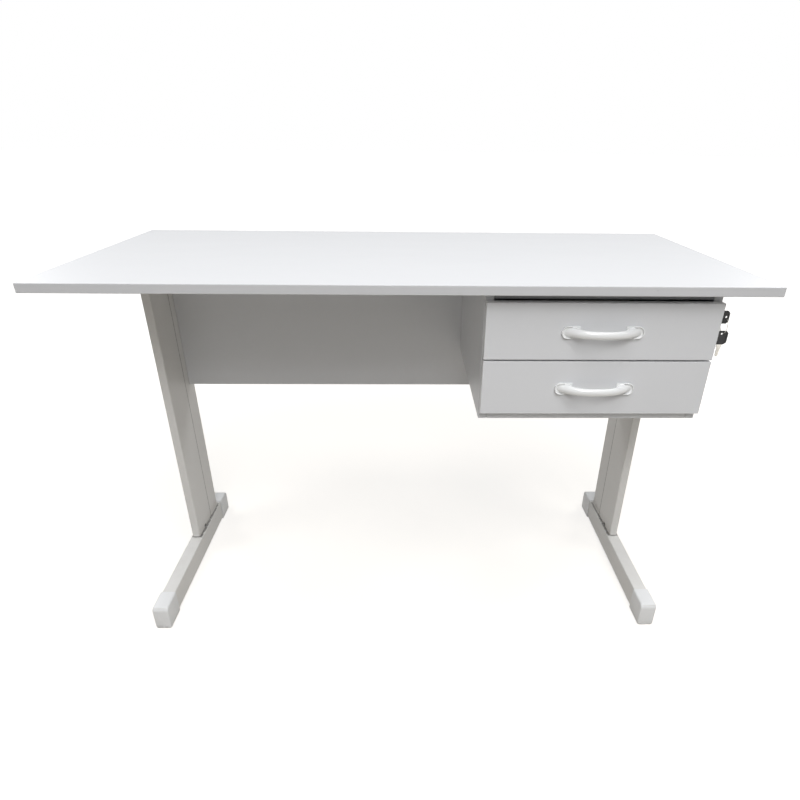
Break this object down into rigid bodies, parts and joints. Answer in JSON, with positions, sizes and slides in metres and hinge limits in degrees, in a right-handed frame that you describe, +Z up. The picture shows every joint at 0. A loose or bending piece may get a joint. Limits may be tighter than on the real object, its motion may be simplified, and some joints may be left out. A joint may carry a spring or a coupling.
{
  "type": "writing desk with drawers",
  "caption": "Rectangular writing desk on two steel side frames, with a modesty panel, a hung lockable drawer cabinet under the right side and bow handles.",
  "frame": {"origin": "on the floor, under the middle of the worktop", "axes": "+X along the worktop to the sitter's right, +Y from the sitter's side to the back, +Z up"},
  "size_m": [1.2, 0.6, 0.75],
  "materials": {
    "melamine": "pale ice-grey melamine-faced board, satin, with a banded edge",
    "graphite_board": "dark grey melamine-faced board, satin",
    "hardboard": "thin white-faced hardboard, matt",
    "painted_steel": "light grey powder coat, satin",
    "zinc_steel": "zinc-plated pressed steel",
    "cap_plastic": "pale grey moulded plastic, satin",
    "handle_plastic": "white moulded plastic, glossy",
    "lock_chrome": "nickel-plated die casting, polished",
    "key_steel": "nickel-plated steel",
    "key_plastic": "black moulded plastic, satin"
  },
  "bodies": {
    "desk": {"tabletop": "melamine", "modesty_panel": "melamine", "cabinet_left_side": "melamine", "cabinet_right_side": "melamine", "cabinet_bottom": "melamine", "cabinet_front_rail": "graphite_board", "cabinet_rear_rail": "melamine", "cabinet_back": "hardboard", "left_foot_tube": "painted_steel", "left_post": "painted_steel", "left_cable_cover": "painted_steel", "left_top_rail": "painted_steel", "left_front_foot_cap": "cap_plastic", "left_rear_foot_cap": "cap_plastic", "left_front_top_screw": "zinc_steel", "left_rear_top_screw": "zinc_steel", "left_upper_panel_bracket": "zinc_steel", "left_lower_panel_bracket": "zinc_steel", "right_foot_tube": "painted_steel", "right_post": "painted_steel", "right_cable_cover": "painted_steel", "right_top_rail": "painted_steel", "right_front_foot_cap": "cap_plastic", "right_rear_foot_cap": "cap_plastic", "right_front_top_screw": "zinc_steel", "right_rear_top_screw": "zinc_steel", "right_upper_panel_bracket": "zinc_steel", "right_lower_panel_bracket": "zinc_steel", "upper_drawer_left_outer_runner": "zinc_steel", "upper_drawer_right_outer_runner": "zinc_steel", "lower_drawer_left_outer_runner": "zinc_steel", "lower_drawer_right_outer_runner": "zinc_steel", "lock_barrel": "lock_chrome"},
    "upper_drawer": {"upper_drawer_front": "melamine", "upper_drawer_left_side": "melamine", "upper_drawer_right_side": "melamine", "upper_drawer_back": "melamine", "upper_drawer_bottom": "hardboard", "upper_drawer_handle": "handle_plastic", "upper_drawer_handle_left_screw": "zinc_steel", "upper_drawer_left_inner_runner": "zinc_steel", "upper_drawer_handle_right_screw": "zinc_steel", "upper_drawer_right_inner_runner": "zinc_steel"},
    "lower_drawer": {"lower_drawer_front": "melamine", "lower_drawer_left_side": "melamine", "lower_drawer_right_side": "melamine", "lower_drawer_back": "melamine", "lower_drawer_bottom": "hardboard", "lower_drawer_handle": "handle_plastic", "lower_drawer_handle_left_screw": "zinc_steel", "lower_drawer_left_inner_runner": "zinc_steel", "lower_drawer_handle_right_screw": "zinc_steel", "lower_drawer_right_inner_runner": "zinc_steel"},
    "lock_core": {"lock_plug": "lock_chrome", "key_blade": "key_steel", "key_bow": "key_plastic"},
    "lock_lift_bar": {"lock_bar": "zinc_steel"},
    "key_loop": {"key_ring": "key_steel"},
    "spare_key": {"spare_key_blade": "key_steel", "spare_key_bow": "key_plastic"}
  },
  "joints": [
    {"name": "upper_drawer_slide", "type": "slide", "parent": "desk", "child": "upper_drawer", "axis": [0, -1, 0], "range_m": [0, 0.27]},
    {"name": "lower_drawer_slide", "type": "slide", "parent": "desk", "child": "lower_drawer", "axis": [0, -1, 0], "range_m": [0, 0.27]},
    {"name": "lock_turn", "type": "hinge", "parent": "desk", "child": "lock_core", "pos_m": [0.5298, -0.222, 0.684], "axis": [1, 0, 0], "range_deg": [0, 90]},
    {"name": "lock_bar_lift", "type": "slide", "parent": "desk", "child": "lock_lift_bar", "axis": [0, 0, 1], "range_m": [0, 0.0099]},
    {"name": "key_ring_swing", "type": "hinge", "parent": "lock_core", "child": "key_loop", "pos_m": [0.5555, -0.222, 0.684], "axis": [0, -1, 0], "range_deg": [-10, 60]},
    {"name": "spare_key_swing", "type": "hinge", "parent": "key_loop", "child": "spare_key", "pos_m": [0.5555, -0.222, 0.6554], "axis": [0, -1, 0], "range_deg": [-10, 60]}
  ],
  "couplings": [
    {"joint": "lock_bar_lift", "follows": "lock_turn", "m_per_rad": 0.0063}
  ]
}
